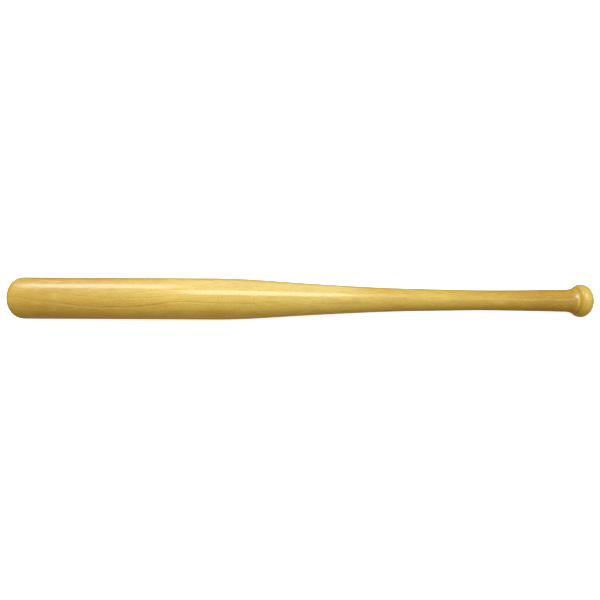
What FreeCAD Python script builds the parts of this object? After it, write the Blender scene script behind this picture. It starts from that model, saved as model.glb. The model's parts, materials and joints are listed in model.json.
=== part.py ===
import FreeCAD, Part
import math
import os

# A one-piece baseball bat, turned on a lathe from a single billet of wood. It has no grip
# tape, no end cap and no separate knob, so it is one solid of revolution.
#
# Frame: the axis of the bat is the X axis, the barrel end points to -X and the knob to +X.
# The origin is the middle of the bat's length.
#
# The profile is drawn with stations, which are distances from the barrel end along the axis,
# and radii from the axis. All sizes are in millimetres and all angles in degrees.

overall_length = 787.4

# Barrel: a slightly domed end, a rounded corner and a straight cylinder.
barrel_radius = 28.4
end_dome_radius = 100.0
barrel_corner_radius = 13.7
barrel_straight_end = 271.0

# Taper and handle: a smooth curve from the barrel, through these (station, radius) points.
taper_points = [
    (318.0, 27.3),
    (372.0, 23.85),
    (440.0, 19.85),
    (520.0, 16.2),
    (585.0, 14.75),
    (645.0, 13.95),
    (700.0, 14.4),
]

# Cove: the handle's last stretch flares outwards, ends in a small rounded lip and drops into
# the sharp groove at the knob.
cove_start = 755.0
cove_start_radius = 15.25
cove_start_slope = 1.15
cove_radius = 22.0
lip_radius = 4.0
lip_slope = 22.0
groove_slope = 35.0

# Knob: a bead with a rounded shoulder, a tighter crown and a ball-like end with a small flat.
knob_radius = 22.5
knob_crown_radius = 8.2
knob_end_radius = 23.0
knob_blend_angle = 47.0


def point(station, radius):
    """A point of the profile, on the upper side of the bat."""
    return FreeCAD.Vector(station - overall_length / 2, 0, radius)


def line(start, end):
    return Part.LineSegment(point(*start), point(*end)).toShape()


def on_circle(centre, radius, angle):
    """The (station, radius) point where a circle faces this angle: -90 looks to the barrel
    end, 0 looks straight away from the axis, 90 looks to the knob end, 180 to the axis."""
    turn = math.radians(angle)
    return centre[0] + radius * math.sin(turn), centre[1] + radius * math.cos(turn)


def arc(centre, radius, start_angle, end_angle):
    angles = (start_angle, (start_angle + end_angle) / 2, end_angle)
    return Part.Arc(*[point(*on_circle(centre, radius, angle)) for angle in angles]).toShape()


def barrel_edges():
    """The end dome, the corner that blends it into the cylinder, and the cylinder."""
    corner_height = barrel_radius - barrel_corner_radius
    centre_gap = end_dome_radius - barrel_corner_radius
    corner_station = end_dome_radius - math.sqrt(centre_gap ** 2 - corner_height ** 2)
    blend_angle = -math.degrees(math.acos(corner_height / centre_gap))
    dome = arc((end_dome_radius, 0), end_dome_radius, -90, blend_angle)
    corner = arc((corner_station, corner_height), barrel_corner_radius, blend_angle, 0)
    cylinder = line((corner_station, barrel_radius), (barrel_straight_end, barrel_radius))
    print("barrel: cylinder from station %.3f to %.3f" % (corner_station, barrel_straight_end))
    return [dome, corner, cylinder]


def handle_edge():
    """The taper and the handle, one curve that leaves the cylinder and enters the cove in line."""
    stations = [(barrel_straight_end, barrel_radius)] + taper_points
    stations.append((cove_start, cove_start_radius))
    slope = math.radians(cove_start_slope)
    curve = Part.BSplineCurve()
    curve.interpolate(
        Points=[point(*station) for station in stations],
        InitialTangent=FreeCAD.Vector(1, 0, 0),
        FinalTangent=FreeCAD.Vector(math.cos(slope), 0, math.sin(slope)),
    )
    return curve.toShape()


def knob_edges():
    """The cove, its lip, the shoulder that rises from the groove, the crown and the end."""
    cove_centre = on_circle((cove_start, cove_start_radius), cove_radius, -cove_start_slope)
    cove = arc(cove_centre, cove_radius, 180 - cove_start_slope, 180 - lip_slope)
    cove_end = on_circle(cove_centre, cove_radius, 180 - lip_slope)
    lip_centre = on_circle(cove_end, -lip_radius, -lip_slope)
    lip = arc(lip_centre, lip_radius, -lip_slope, groove_slope)
    groove_station, groove_radius = on_circle(lip_centre, lip_radius, groove_slope)

    blend = math.radians(knob_blend_angle)
    crown_run = knob_crown_radius * math.sin(blend)
    end_run = knob_end_radius * (1 - math.sin(blend))
    crown_station = overall_length - crown_run - end_run
    shoulder_run = crown_station - groove_station
    rise = knob_radius - groove_radius
    shoulder_radius = (shoulder_run ** 2 + rise ** 2) / (2 * rise)
    shoulder_angle = -math.degrees(math.asin(shoulder_run / shoulder_radius))
    shoulder_centre = (crown_station, knob_radius - shoulder_radius)
    crown_centre = (crown_station, knob_radius - knob_crown_radius)
    shoulder = arc(shoulder_centre, shoulder_radius, shoulder_angle, 0)
    crown = arc(crown_centre, knob_crown_radius, 0, knob_blend_angle)

    inward = knob_crown_radius - knob_end_radius
    end_centre = on_circle(crown_centre, inward, knob_blend_angle)
    end = arc(end_centre, knob_end_radius, knob_blend_angle, 90)
    flat = line((overall_length, end_centre[1]), (overall_length, 0))
    print("lip: radius %.3f at station %.3f" % (lip_centre[1] + lip_radius, lip_centre[0]))
    print("groove: radius %.3f at station %.3f" % (groove_radius, groove_station))
    print("knob: shoulder radius %.3f, crown at station %.3f, end flat radius %.3f"
          % (shoulder_radius, crown_station, end_centre[1]))
    return [cove, lip, shoulder, crown, end, flat]


def turned_billet():
    """The whole bat: the closed half profile turned once about the axis."""
    axis = line((overall_length, 0), (0, 0))
    edges = barrel_edges() + [handle_edge()] + knob_edges() + [axis]
    profile = Part.Face(Part.Wire(edges))
    return profile.revolve(point(0, 0), FreeCAD.Vector(1, 0, 0), 360)


os.makedirs("parts", exist_ok=True)
billet = turned_billet()
print("turned_billet: valid %s, solids %d, volume %.0f mm3"
      % (billet.isValid(), len(billet.Solids), billet.Volume))
billet.exportStep("parts/turned_billet.step")
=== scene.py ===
import json
import math

import bpy
import numpy as np
from mathutils import Matrix, Vector


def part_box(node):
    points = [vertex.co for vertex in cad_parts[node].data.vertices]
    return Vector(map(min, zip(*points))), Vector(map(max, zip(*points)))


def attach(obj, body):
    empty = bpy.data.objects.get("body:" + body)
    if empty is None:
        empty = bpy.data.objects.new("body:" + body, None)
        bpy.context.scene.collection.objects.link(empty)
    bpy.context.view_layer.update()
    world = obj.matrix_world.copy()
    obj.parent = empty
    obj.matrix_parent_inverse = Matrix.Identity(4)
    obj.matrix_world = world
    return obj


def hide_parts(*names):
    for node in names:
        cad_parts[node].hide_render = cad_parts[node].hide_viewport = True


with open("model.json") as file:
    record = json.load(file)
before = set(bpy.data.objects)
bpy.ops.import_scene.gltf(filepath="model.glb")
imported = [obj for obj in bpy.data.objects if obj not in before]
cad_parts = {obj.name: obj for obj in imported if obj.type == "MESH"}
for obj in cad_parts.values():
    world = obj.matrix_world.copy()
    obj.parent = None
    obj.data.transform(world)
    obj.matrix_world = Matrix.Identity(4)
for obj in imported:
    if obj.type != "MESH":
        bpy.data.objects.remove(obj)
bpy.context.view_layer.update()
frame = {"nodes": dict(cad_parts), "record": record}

# A one-piece turned wooden bat under clear gloss lacquer, lying on a pale floor.
# Metres, in the CAD part's own frame: the bat's axis is the X axis, the barrel end points
# to -X and the knob to +X. Stations are distances from the barrel end, along the axis.

BILLET = "turned_billet"
MOUNTS = {mount["name"]: mount for mount in frame["record"]["mounts"]}
LOW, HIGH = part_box(BILLET)
LENGTH = HIGH.x - LOW.x

# The outline, as the CAD part has it. Its cylinder is the barrel mount.
BARREL_RADIUS = MOUNTS["barrel"]["dims"]["r_mm"] / 1000
BARREL_MIDDLE = MOUNTS["barrel"]["pos_m"][0] - LOW.x
BARREL_LENGTH = MOUNTS["barrel"]["dims"]["length_mm"] / 1000
TAPER_START = BARREL_MIDDLE + BARREL_LENGTH / 2
END_DOME_RADIUS = 0.100
BARREL_CORNER_RADIUS = 0.0137
TAPER_POINTS = [
    (0.318, 0.0273),
    (0.372, 0.02385),
    (0.440, 0.01985),
    (0.520, 0.0162),
    (0.585, 0.01475),
    (0.645, 0.01395),
    (0.700, 0.0144),
]
COVE_START = (0.755, 0.01525)
COVE_START_SLOPE = math.radians(1.15)
COVE_RADIUS = 0.022
LIP_RADIUS = 0.004
LIP_SLOPE = math.radians(22)
GROOVE_SLOPE = math.radians(35)
KNOB_RADIUS = 0.0225
KNOB_CROWN_RADIUS = 0.0082
KNOB_END_RADIUS = 0.023
KNOB_BLEND_ANGLE = math.radians(47)
CROWN_STATION = LENGTH - KNOB_CROWN_RADIUS * math.sin(KNOB_BLEND_ANGLE)
CROWN_STATION -= KNOB_END_RADIUS * (1 - math.sin(KNOB_BLEND_ANGLE))

SEGMENTS = 192           # round the bat
ARC_STEP = math.radians(4)
TAPER_STEP = 0.003
BARREL_STEP = 0.008
CAD_TOLERANCE = 0.0002   # how far the smooth outline may be from the CAD mesh

# ---------------------------------------------------------------- the outline


def on_circle(centre, radius, angle):
    """The (station, radius) point where a circle faces this angle: -90 degrees looks to the
    barrel end, 0 straight away from the axis, and 90 to the knob end."""
    return centre[0] + radius * math.sin(angle), centre[1] + radius * math.cos(angle)


def arc(centre, radius, start, end):
    steps = max(3, math.ceil(abs(end - start) / ARC_STEP))
    return [on_circle(centre, radius, a) for a in np.linspace(start, end, steps + 1)]


def clamped_spline(points, start_slope, end_slope, step):
    """A smooth curve through the points, with the slopes given at its ends."""
    x, y = np.array(points).T
    gap = np.diff(x)
    rise = np.diff(y) / gap
    count = len(x)
    matrix = np.zeros((count, count))
    right = np.zeros(count)
    matrix[0, :2] = 2 * gap[0], gap[0]
    right[0] = 6 * (rise[0] - start_slope)
    matrix[-1, -2:] = gap[-1], 2 * gap[-1]
    right[-1] = 6 * (end_slope - rise[-1])
    for i in range(1, count - 1):
        matrix[i, i - 1:i + 2] = gap[i - 1], 2 * (gap[i - 1] + gap[i]), gap[i]
        right[i] = 6 * (rise[i] - rise[i - 1])
    bend = np.linalg.solve(matrix, right)
    at = np.linspace(x[0], x[-1], math.ceil((x[-1] - x[0]) / step) + 1)
    i = np.clip(np.searchsorted(x, at, side="right") - 1, 0, count - 2)
    before, after = at - x[i], x[i + 1] - at
    curve = (bend[i] * after ** 3 + bend[i + 1] * before ** 3) / (6 * gap[i])
    curve += (y[i] / gap[i] - bend[i] * gap[i] / 6) * after
    curve += (y[i + 1] / gap[i] - bend[i + 1] * gap[i] / 6) * before
    return list(zip(at, curve))


def barrel_outline():
    height = BARREL_RADIUS - BARREL_CORNER_RADIUS
    gap = END_DOME_RADIUS - BARREL_CORNER_RADIUS
    corner = END_DOME_RADIUS - math.sqrt(gap ** 2 - height ** 2)
    blend = -math.acos(height / gap)
    dome = arc((END_DOME_RADIUS, 0), END_DOME_RADIUS, -math.pi / 2, blend)
    rounded = arc((corner, height), BARREL_CORNER_RADIUS, blend, 0)
    steps = math.ceil((TAPER_START - corner) / BARREL_STEP)
    straight = [(s, BARREL_RADIUS) for s in np.linspace(corner, TAPER_START, steps + 1)]
    return dome + rounded + straight


def handle_outline():
    points = [(TAPER_START, BARREL_RADIUS)] + TAPER_POINTS + [COVE_START]
    return clamped_spline(points, 0, math.tan(COVE_START_SLOPE), TAPER_STEP)


def knob_outline():
    """The cove, its lip, the shoulder that rises from the groove, the crown and the end."""
    cove_centre = on_circle(COVE_START, COVE_RADIUS, -COVE_START_SLOPE)
    cove = arc(cove_centre, COVE_RADIUS, math.pi - COVE_START_SLOPE, math.pi - LIP_SLOPE)
    lip_centre = on_circle(cove[-1], -LIP_RADIUS, -LIP_SLOPE)
    lip = arc(lip_centre, LIP_RADIUS, -LIP_SLOPE, GROOVE_SLOPE)
    groove = lip[-1]
    run, rise = CROWN_STATION - groove[0], KNOB_RADIUS - groove[1]
    shoulder_radius = (run ** 2 + rise ** 2) / (2 * rise)
    shoulder_centre = (CROWN_STATION, KNOB_RADIUS - shoulder_radius)
    crown_centre = (CROWN_STATION, KNOB_RADIUS - KNOB_CROWN_RADIUS)
    end_centre = on_circle(crown_centre, KNOB_CROWN_RADIUS - KNOB_END_RADIUS, KNOB_BLEND_ANGLE)
    shoulder = arc(shoulder_centre, shoulder_radius, -math.asin(run / shoulder_radius), 0)
    crown_arc = arc(crown_centre, KNOB_CROWN_RADIUS, 0, KNOB_BLEND_ANGLE)
    end = arc(end_centre, KNOB_END_RADIUS, KNOB_BLEND_ANGLE, math.pi / 2)
    return cove + lip + shoulder + crown_arc + end + [(LENGTH, 0)]


def outline():
    """The whole outline from the middle of the barrel end to the middle of the knob end,
    without the doubled points where two stretches meet."""
    points = barrel_outline() + handle_outline() + knob_outline()
    kept = points[:1]
    for point in points[1:]:
        if math.dist(point, kept[-1]) > 1e-6:
            kept.append(point)
    return kept


def check_against_cad(points):
    """Stops the script if the outline has drifted from the CAD solid that it stands for."""
    station, radius = np.array(points).T
    vertices = np.array([v.co for v in frame["nodes"][BILLET].data.vertices])
    cad_station = vertices[:, 0] - LOW.x
    # The two ends are left out, because the outline is too steep there to compare by radius.
    inner = (cad_station > END_DOME_RADIUS / 20) & (cad_station < LENGTH - KNOB_END_RADIUS / 3)
    cad_radius = np.hypot(vertices[inner, 1], vertices[inner, 2])
    off = np.abs(np.interp(cad_station[inner], station, radius) - cad_radius)
    print("outline: %d points, at most %.3f mm from the CAD mesh" % (len(points), off.max() * 1000))
    if off.max() > CAD_TOLERANCE:
        raise ValueError("the outline isn't the CAD part's")


# ---------------------------------------------------------------- the billet's mesh


def turned_mesh(points):
    """The outline turned about the X axis, closed by a fan of triangles at each end."""
    angles = np.linspace(0, 2 * math.pi, SEGMENTS, endpoint=False)
    rings = points[1:-1]
    vertices = [(LOW.x + points[0][0], 0, 0)]
    for station, radius in rings:
        for angle in angles:
            vertices.append((LOW.x + station, radius * math.cos(angle), radius * math.sin(angle)))
    vertices.append((LOW.x + points[-1][0], 0, 0))

    faces = []
    last = len(vertices) - 1
    last_ring = 1 + (len(rings) - 1) * SEGMENTS
    for i in range(SEGMENTS):
        after = (i + 1) % SEGMENTS
        faces.append((0, 1 + after, 1 + i))
        faces.append((last, last_ring + i, last_ring + after))
        for ring in range(len(rings) - 1):
            here = 1 + ring * SEGMENTS
            faces.append((here + i, here + after, here + SEGMENTS + after, here + SEGMENTS + i))
    mesh = bpy.data.meshes.new("lacquered_billet")
    mesh.from_pydata(vertices, [], faces)
    mesh.validate()
    mesh.polygons.foreach_set("use_smooth", [True] * len(mesh.polygons))
    return mesh


def billet():
    points = outline()
    check_against_cad(points)
    piece = bpy.data.objects.new("lacquered_billet", turned_mesh(points))
    bpy.context.scene.collection.objects.link(piece)
    piece.data.materials.append(wood())
    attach(piece, "root")
    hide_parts(BILLET)
    return piece


# ---------------------------------------------------------------- wood

# The wood is one solid pattern that runs right through the billet, so the long grain on the
# sides and the end grain on both ends belong together. The billet was sawn from one side of a
# tree: the growth rings are wide arcs about a pith that lies outside it and wanders along it.
GRAIN_TURN = math.radians(35)          # the face that is seen first, above the -Y side
GRAIN_FACE = (0, -math.cos(GRAIN_TURN), math.sin(GRAIN_TURN))
GRAIN_UP = (0, math.sin(GRAIN_TURN), math.cos(GRAIN_TURN))
PITH_UP = 0.055                        # the pith's place, up from and behind the bat's axis
PITH_BEHIND = 0.030
RING_RADIUS = 0.0831                   # of the growth line that crosses the face
RING_WIDTHS = (0.0100, 0.0062)         # at the barrel end, and from a quarter of the length on
LINES_FADE = (0.28, 0.55)              # shares of the length between which the lines get faint
PITH_WANDER = 0.020                    # the most that the pith leaves its place, either way
PITH_COURSE = [                        # (station / length, share of that)
    (0.00, 0.34),
    (0.02, 0.24),
    (0.05, 0.09),
    (0.09, -0.07),
    (0.14, -0.23),
    (0.19, -0.27),
    (0.25, -0.19),
    (0.30, 0.00),
    (0.36, -0.05),
    (0.45, 0.05),
    (0.60, 0.18),
    (1.00, 0.20),
]
WOOD_TINTS = [                         # (station / length, linear colour)
    (0.00, (0.44, 0.265, 0.025)),
    (0.07, (0.40, 0.23, 0.016)),
    (0.13, (0.445, 0.265, 0.028)),
    (0.20, (0.48, 0.30, 0.033)),
    (0.28, (0.565, 0.37, 0.049)),
    (0.40, (0.535, 0.365, 0.051)),
    (0.56, (0.54, 0.38, 0.070)),
    (0.64, (0.48, 0.315, 0.040)),
    (0.72, (0.46, 0.295, 0.034)),
    (0.85, (0.38, 0.22, 0.010)),
    (0.92, (0.305, 0.155, 0.002)),
    (0.966, (0.33, 0.175, 0.002)),
    # the stop at 0.973 sits on the groove and lightens it: painted light over the groove's shade
    (0.973, (0.46, 0.28, 0.021)),
    (0.985, (0.535, 0.35, 0.043)),
]
LIP_STATION = 0.7636                   # the lip at the knob: paler from rubbing, with a painted highlight on it
LIP_HALF_WIDTH = 0.0014
WAVE_HEIGHT = 0.000060                 # of the lacquer's soft waves
FIBRE_HEIGHT = 0.0000040               # of the fibres under it

# Linear colours that are mixed into the tint.
AMBER = (0.42, 0.205, 0.012, 1)
CLOUD_DEEP = (0.46, 0.250, 0.020, 1)
CLOUD_PALE = (0.68, 0.500, 0.085, 1)
BLOTCH_PALE = (0.62, 0.450, 0.075, 1)
MOTTLE_PALE = (0.72, 0.530, 0.110, 1)
FIBRE_DEEP = (0.36, 0.200, 0.014, 1)
FLECK = (0.28, 0.140, 0.010, 1)
LINE_BEFORE = (0.42, 0.240, 0.020, 1)
LINE_DARK = (0.22, 0.110, 0.010, 1)
LINE_PALE = (0.74, 0.560, 0.130, 1)
# the lip's paler colour, which is partly rubbed wood and partly a painted highlight
LIP_PALE_AND_HIGHLIGHT = (0.74, 0.560, 0.200, 1)

STAINS = [      # (station, height up the face, half length, half height, strength) of each patch
    (0.119, 0.0243, 0.016, 0.0030, 0.50),
    (0.202, 0.0245, 0.011, 0.0030, 0.45),
    (0.043, -0.0110, 0.028, 0.0040, 0.50),
    (0.112, -0.0070, 0.010, 0.0045, 0.60),
    (0.200, -0.0085, 0.030, 0.0035, 0.50),
    (0.225, -0.0180, 0.014, 0.0050, 0.45),
    (0.280, -0.0180, 0.032, 0.0050, 0.50),
    (0.320, -0.0035, 0.018, 0.0025, 0.30),
    (0.455, -0.0045, 0.034, 0.0025, 0.40),
    (0.725, 0.0100, 0.045, 0.0060, 0.35),
]


class Nodes:
    """Builds a node tree. A value is a number, a vector, a colour or another node's output."""

    def __init__(self, tree):
        self.tree = tree

    def put(self, socket, value):
        if isinstance(value, bpy.types.NodeSocket):
            self.tree.links.new(value, socket)
        else:
            socket.default_value = value

    def add(self, kind, values=None, **settings):
        node = self.tree.nodes.new("ShaderNode" + kind)
        for name, setting in settings.items():
            setattr(node, name, setting)
        for socket, value in (values or {}).items():
            self.put(node.inputs[socket], value)
        return node

    def math(self, operation, *values):
        return self.add("Math", dict(enumerate(values)), operation=operation).outputs[0]

    def vector(self, operation, a, b):
        node = self.add("VectorMath", {0: a, 1: b}, operation=operation)
        return node.outputs["Value" if operation == "DOT_PRODUCT" else "Vector"]

    def ramp(self, value, low, high, out_low=0.0, out_high=1.0):
        """From out_low at low to out_high at high, with a soft start and end."""
        values = {"Value": value, "From Min": low, "From Max": high}
        values.update({"To Min": out_low, "To Max": out_high})
        return self.add("MapRange", values, interpolation_type="SMOOTHSTEP").outputs["Result"]

    def noise(self, place, length, across, detail=2.0, offset=0.0):
        """Grain noise from 0 to 1, in cells of this length along the bat and width across it."""
        moved = self.vector("ADD", place, (offset, offset, offset))
        cells = self.vector("MULTIPLY", moved, (1 / length, 1 / across, 1 / across))
        return self.add("TexNoise", {"Vector": cells, "Scale": 1.0, "Detail": detail}).outputs["Fac"]

    def gradient(self, value, stops):
        """A colour for a value from 0 to 1, blended between stops of (value, colour)."""
        node = self.add("ValToRGB", {"Fac": value})
        elements = node.color_ramp.elements
        while len(elements) < len(stops):
            elements.new(0.5)
        for element, (where, colour) in zip(elements, stops):
            element.position = where
            element.color = (*colour, 1)
        return node.outputs["Color"]

    def tint(self, colour, share, other):
        """The colour mixed with this share of the other one."""
        mix = self.add("Mix", data_type="RGBA")
        self.put(mix.inputs["Factor"], share)
        self.put(mix.inputs[6], colour)
        self.put(mix.inputs[7], other)
        return mix.outputs[2]


def course(nodes, along):
    """How far the pith is off its place, from a smooth curve through PITH_COURSE."""
    curve = nodes.add("FloatCurve", {"Value": along})
    points = curve.mapping.curves[0].points
    while len(points) < len(PITH_COURSE):
        points.new(0.5, 0.5)
    for point, (where, share) in zip(points, PITH_COURSE):
        point.location = where, (share + 1) / 2
    curve.mapping.update()
    centred = nodes.math("SUBTRACT", curve.outputs[0], 0.5)
    return nodes.math("MULTIPLY", centred, 2 * PITH_WANDER)


def ring_depth(nodes, place, up, face, along):
    """Distance in metres past the nearest growth line, away from the pith, and the number of
    ring widths from the line that crosses the face."""
    bend = nodes.noise(place, length=0.120, across=0.030, detail=1.0, offset=0.37)
    ripple = nodes.noise(place, length=0.016, across=0.004, offset=0.81)
    drift = nodes.math("MULTIPLY_ADD", bend, 0.0008, -0.0004)
    drift = nodes.math("ADD", drift, nodes.math("MULTIPLY_ADD", ripple, 0.0008, -0.0004))
    rise = nodes.math("SUBTRACT", nodes.math("SUBTRACT", up, PITH_UP), course(nodes, along))
    out = nodes.math("ADD", face, PITH_BEHIND)
    square = nodes.math("MULTIPLY_ADD", rise, rise, nodes.math("MULTIPLY", out, out))
    radius = nodes.math("ADD", nodes.math("SQRT", square), drift)
    width = nodes.ramp(along, 0.0, 0.25, *RING_WIDTHS)
    turns = nodes.math("DIVIDE", nodes.math("SUBTRACT", radius, RING_RADIUS), width)
    past = nodes.math("SUBTRACT", nodes.math("FRACT", nodes.math("ADD", turns, 0.5)), 0.5)
    return nodes.math("MULTIPLY", past, width), turns


def line(nodes, depth, middle, half_width):
    """1 in the middle of a thin line and 0 outside it."""
    off = nodes.math("ABSOLUTE", nodes.math("SUBTRACT", depth, middle))
    return nodes.ramp(off, 0.0, half_width, 1.0, 0.0)


def clouds(nodes, colour, place):
    """Broad clouds of deeper and paler wood."""
    cloud = nodes.noise(place, length=0.070, across=0.012, detail=3.0, offset=0.15)
    colour = nodes.tint(colour, nodes.ramp(cloud, 0.45, 0.80, 0.0, 0.30), CLOUD_DEEP)
    return nodes.tint(colour, nodes.ramp(cloud, 0.20, 0.50, 0.22, 0.0), CLOUD_PALE)


def stains(nodes, colour, place, station, up):
    """The amber patches of STAINS, with ragged edges."""
    edge = nodes.noise(place, length=0.014, across=0.004, offset=0.55)
    ragged = nodes.math("MULTIPLY_ADD", edge, 1.6, -0.8)
    for where, height, half_length, half_height, strength in STAINS:
        x = nodes.math("DIVIDE", nodes.math("SUBTRACT", station, where), half_length)
        y = nodes.math("DIVIDE", nodes.math("SUBTRACT", up, height), half_height)
        square = nodes.math("MULTIPLY_ADD", x, x, nodes.math("MULTIPLY", y, y))
        reach = nodes.math("ADD", nodes.math("SQRT", square), ragged)
        colour = nodes.tint(colour, nodes.ramp(reach, 0.2, 1.5, strength, 0.0), AMBER)
    return colour


def blotches(nodes, colour, place, along):
    """Small soft blotches, strongest on the barrel and then on the handle."""
    blotch = nodes.noise(place, length=0.012, across=0.0045, detail=1.0, offset=0.33)
    barrel = nodes.ramp(along, 0.14, 0.28, 1.0, 0.1)
    ends = nodes.math("ADD", barrel, nodes.ramp(along, 0.42, 0.60, 0.0, 0.6))
    deeper = nodes.math("MULTIPLY", nodes.ramp(blotch, 0.48, 0.75, 0.0, 0.34), ends)
    paler = nodes.math("MULTIPLY", nodes.ramp(blotch, 0.25, 0.50, 0.20, 0.0), ends)
    colour = nodes.tint(colour, deeper, FIBRE_DEEP)
    return nodes.tint(colour, paler, BLOTCH_PALE)


def growth_lines(nodes, colour, place, along, up, face):
    """Deeper wood before each growth line, a thin dark line, and a thin pale one after it."""
    depth, turns = ring_depth(nodes, place, up, face, along)
    uneven = nodes.noise(place, length=0.045, across=0.030, offset=0.92)
    strength = nodes.ramp(uneven, 0.30, 0.65, 0.35, 1.0)
    strength = nodes.math("MULTIPLY", strength, nodes.ramp(along, *LINES_FADE, 1.0, 0.1))
    strength = nodes.math("MULTIPLY", strength, nodes.ramp(turns, -0.7, -0.3, 0.55, 1.0))
    strength = nodes.math("MULTIPLY", strength, nodes.ramp(turns, 0.3, 0.7, 1.0, 0.30))
    before = nodes.ramp(depth, -0.0040, -0.0008, 0.0, 0.14)
    before = nodes.math("MULTIPLY", before, nodes.math("LESS_THAN", depth, 0.0))
    before = nodes.math("MULTIPLY", before, strength)
    dark = nodes.math("MULTIPLY", line(nodes, depth, -0.00035, 0.00055), strength)
    pale = nodes.math("MULTIPLY", line(nodes, depth, 0.0006, 0.0010), strength)
    colour = nodes.tint(colour, before, LINE_BEFORE)
    colour = nodes.tint(colour, nodes.math("MULTIPLY", dark, 0.55), LINE_DARK)
    return nodes.tint(colour, nodes.math("MULTIPLY", pale, 0.16), LINE_PALE)


def grain(nodes, colour, place, along, fibres):
    """Fibres and streaks along the grain, a fine mottle, and short darker flecks."""
    mottle = nodes.noise(place, length=0.0028, across=0.0010, offset=0.66)
    flecks = nodes.noise(place, length=0.004, across=0.0003, detail=0.0, offset=0.44)
    streaks = nodes.noise(place, length=0.022, across=0.0022, detail=1.0, offset=0.51)
    colour = nodes.tint(colour, nodes.ramp(streaks, 0.48, 0.75, 0.0, 0.26), FIBRE_DEEP)
    colour = nodes.tint(colour, nodes.ramp(fibres, 0.40, 0.75, 0.0, 0.34), FIBRE_DEEP)
    middle = nodes.ramp(along, 0.14, 0.26, 0.50, 0.90)
    middle = nodes.math("MULTIPLY", middle, nodes.ramp(along, 0.40, 0.55, 1.0, 0.7))
    light = nodes.math("MULTIPLY", nodes.ramp(mottle, 0.50, 0.75, 0.0, 0.36), middle)
    deep = nodes.math("MULTIPLY", nodes.ramp(mottle, 0.25, 0.50, 0.30, 0.0), middle)
    colour = nodes.tint(colour, light, MOTTLE_PALE)
    colour = nodes.tint(colour, deep, FIBRE_DEEP)
    return nodes.tint(colour, nodes.ramp(flecks, 0.68, 0.80, 0.0, 0.30), FLECK)


def rubbed_lip_and_painted_highlight(nodes, colour, station, up):
    """The lip at the knob is paler: partly rubbed wood, partly a painted highlight, most of all on
    the face.
    """
    rub_and_highlight = line(nodes, station, LIP_STATION, LIP_HALF_WIDTH)
    # painted highlight: the share peaks just above the middle of the face and fades above and below
    # it
    rub_and_highlight = nodes.math("MULTIPLY", rub_and_highlight, nodes.ramp(up, -0.013, 0.001, 0.0, 0.45))
    rub_and_highlight = nodes.math("MULTIPLY", rub_and_highlight, nodes.ramp(up, 0.002, 0.010, 1.0, 0.45))
    return nodes.tint(colour, rub_and_highlight, LIP_PALE_AND_HIGHLIGHT)


def wood():
    material = bpy.data.materials.new("lacquered_wood")
    material.use_nodes = True
    nodes = Nodes(material.node_tree)
    shader = material.node_tree.nodes["Principled BSDF"]

    place = nodes.add("TexCoord").outputs["Object"]
    station = nodes.math("SUBTRACT", nodes.vector("DOT_PRODUCT", place, (1, 0, 0)), LOW.x)
    along = nodes.math("DIVIDE", station, LENGTH)
    up = nodes.vector("DOT_PRODUCT", place, GRAIN_UP)
    face = nodes.vector("DOT_PRODUCT", place, GRAIN_FACE)
    fibres = nodes.noise(place, length=0.030, across=0.0006, detail=3.0, offset=0.29)

    colour = nodes.gradient(along, WOOD_TINTS)
    colour = clouds(nodes, colour, place)
    colour = stains(nodes, colour, place, station, up)
    colour = blotches(nodes, colour, place, along)
    colour = growth_lines(nodes, colour, place, along, up, face)
    colour = grain(nodes, colour, place, along, fibres)
    # paler lip: rubbed edge and painted highlight
    colour = rubbed_lip_and_painted_highlight(nodes, colour, station, up)
    nodes.put(shader.inputs["Base Color"], colour)

    # Under the lacquer the wood is satin, duller in its darker fibres.
    nodes.put(shader.inputs["Roughness"], nodes.ramp(fibres, 0.3, 0.7, 0.42, 0.58))
    shader.inputs["Specular IOR Level"].default_value = 0.05
    shader.inputs["Coat Weight"].default_value = 1.0
    shader.inputs["Coat Roughness"].default_value = 0.16
    shader.inputs["Coat IOR"].default_value = 1.5

    # The lacquer follows the lathe's last faint ridges and the fibres, in soft waves.
    waves = nodes.noise(place, length=0.014, across=0.009, offset=0.73)
    ridges = nodes.math("MULTIPLY", fibres, FIBRE_HEIGHT)
    lift = nodes.math("MULTIPLY_ADD", waves, WAVE_HEIGHT, ridges)
    bump = nodes.add("Bump", {"Height": lift, "Strength": 1.0, "Distance": 1.0})
    nodes.put(shader.inputs["Normal"], bump.outputs["Normal"])
    nodes.put(shader.inputs["Coat Normal"], bump.outputs["Normal"])
    return material


# ---------------------------------------------------------------- studio

CAMERA_ELEVATION = math.radians(35)
CAMERA_DISTANCE = 0.6387         # from the bat's axis
CAMERA_STATION = 0.3917          # abreast of this station
CAMERA_AIM_DROP = 0.00096        # the aim is this far below the axis, across the view
CAMERA_ROLL = math.radians(0.295)
LENS_MM = 28

DOME_LEAN = math.radians(40)          # of the dome's bright top, towards -Y
DOME = [                # (sine of the height above the dome's own horizon, linear colour)
    (-1.0, (0.31, 0.22, 0.14)),
    (-0.5, (0.31, 0.22, 0.16)),
    (-0.15, (0.32, 0.23, 0.22)),
    (0.15, (0.48, 0.43, 0.38)),
    (0.74, (0.88, 0.86, 0.78)),
    (0.93, (1.05, 1.18, 1.38)),
    (1.0, (1.05, 1.25, 1.62)),
]
BACKDROP = (1.0, 1.0, 1.0, 1)
FLOOR_RADIUS = 30
FLOOR_GLOW = 0.80
FLOOR_PALE = (0.90, 0.90, 0.90, 1)
FLOOR_PALER = (0.93, 0.93, 0.93, 1)

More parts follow.
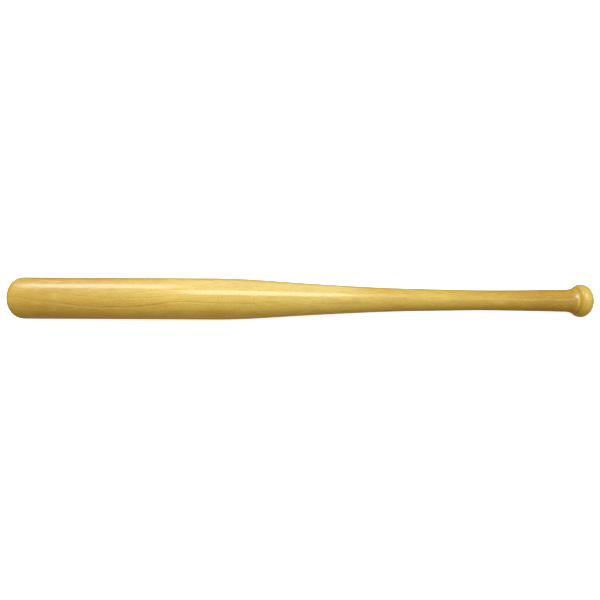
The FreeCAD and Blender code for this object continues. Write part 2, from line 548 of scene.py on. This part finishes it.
LIGHT_DISTANCE = 1.5             # from the bat's axis
LIGHTS = [
    # name, degrees above the line of sight, place along X, width, height, radiance, colour
    ("barrel_light", 70, -0.905, 0.69, 0.66, 5.4, (1.0, 1.0, 1.0)),
    ("barrel_glow", 74, -0.95, 0.92, 2.60, 0.85, (0.50, 0.90, 1.70)),
    ("taper_light", 35, -0.08, 0.88, 0.66, 6.6, (1.0, 1.0, 1.0)),
    ("taper_tail", 40, 0.47, 0.28, 0.52, 1.9, (1.0, 1.0, 1.0)),
    ("taper_glow", 80, -0.06, 0.90, 2.60, 1.1, (0.60, 0.95, 1.65)),
    ("handle_light", 9, 0.98, 0.68, 0.14, 4.7, (1.0, 0.98, 0.65)),
    ("handle_glow", 50, 0.72, 0.50, 2.00, 0.28, (0.70, 0.90, 1.30)),
]


def camera():
    back = Vector((0, -math.cos(CAMERA_ELEVATION), math.sin(CAMERA_ELEVATION)))
    right = Vector((1, 0, 0))
    up = back.cross(right)
    turn = Matrix.Rotation(CAMERA_ROLL, 3, back)
    right, up = turn @ right, turn @ up
    aim = Vector((LOW.x + CAMERA_STATION, 0, 0)) - up * CAMERA_AIM_DROP
    data = bpy.data.cameras.new("camera")
    data.lens = LENS_MM
    data.clip_end = 100
    seen_from = bpy.data.objects.new("camera", data)
    axes = Matrix((right, up, back)).transposed().to_4x4()
    seen_from.matrix_world = Matrix.Translation(aim + back * CAMERA_DISTANCE) @ axes
    bpy.context.scene.collection.objects.link(seen_from)
    bpy.context.scene.camera = seen_from


def softbox(name, degrees, across, width, height, radiance, colour):
    """A soft rectangular light that faces the bat. degrees is how far it stands above the line
    of sight, about the bat's axis, across its place along X, and radiance how bright it looks."""
    turn = CAMERA_ELEVATION + math.radians(degrees)
    away = Vector((0, -math.cos(turn), math.sin(turn)))
    data = bpy.data.lights.new(name, "AREA")
    data.shape = "RECTANGLE"
    data.size, data.size_y = width, height
    # A flat light sends out pi times its radiance from each square metre.
    data.energy = radiance * math.pi * width * height
    data.color = colour
    lamp = bpy.data.objects.new(name, data)
    lamp.location = Vector((across, 0, 0)) + away * LIGHT_DISTANCE
    lamp.rotation_euler = away.to_track_quat("Z", "Y").to_euler()
    bpy.context.scene.collection.objects.link(lamp)


def sky():
    """A soft studio dome: bright overhead, dimmer at the horizon and warm and dark below. The
    camera itself sees a plain pale backdrop."""
    world = bpy.data.worlds.new("studio")
    world.use_nodes = True
    bpy.context.scene.world = world
    nodes = Nodes(world.node_tree)
    direction = nodes.add("TexCoord").outputs["Generated"]
    lean = (0, -math.sin(DOME_LEAN), math.cos(DOME_LEAN))
    height = nodes.vector("DOT_PRODUCT", direction, lean)
    stops = [((where + 1) / 2, colour) for where, colour in DOME]
    glow = nodes.gradient(nodes.math("MULTIPLY_ADD", height, 0.5, 0.5), stops)
    seen = nodes.add("LightPath").outputs["Is Camera Ray"]
    colour = nodes.tint(glow, seen, BACKDROP)
    background = world.node_tree.nodes["Background"]
    nodes.put(background.inputs["Color"], colour)


def floor():
    """A plain pale floor that touches the knob and the barrel, where the taper starts. Its light
    stays off the bat."""
    contacts = []
    for station, radius in outline():
        if station < COVE_START[0]:
            slope = (radius - KNOB_RADIUS) / (CROWN_STATION - station)
            contacts.append((math.atan(slope), station, radius))
    tilt, station, radius = max(contacts)
    touch = Vector((LOW.x + station, 0, -radius))
    bpy.ops.mesh.primitive_circle_add(vertices=96, radius=FLOOR_RADIUS, fill_type="NGON")
    disc = bpy.context.object
    disc.name = "floor"
    disc.rotation_euler = (0, -tilt, 0)
    disc.location = touch
    paint = bpy.data.materials.new("floor_paint")
    paint.use_nodes = True
    nodes = Nodes(paint.node_tree)
    shader = paint.node_tree.nodes["Principled BSDF"]
    place = nodes.add("TexCoord").outputs["Object"]
    uneven = nodes.ramp(nodes.noise(place, length=0.5, across=0.5, offset=0.2), 0.3, 0.7)
    nodes.put(shader.inputs["Base Color"], nodes.tint(FLOOR_PALE, uneven, FLOOR_PALER))
    shader.inputs["Roughness"].default_value = 0.9
    shader.inputs["Specular IOR Level"].default_value = 0.0
    shader.inputs["Emission Color"].default_value = FLOOR_PALER
    shader.inputs["Emission Strength"].default_value = FLOOR_GLOW
    disc.data.materials.append(paint)
    disc.visible_diffuse = False
    disc.visible_glossy = False
    disc.visible_shadow = False


# ---------------------------------------------------------------- the scene

billet()
floor()
sky()
for light in LIGHTS:
    softbox(*light)
camera()
bpy.context.scene.view_settings.view_transform = "Standard"
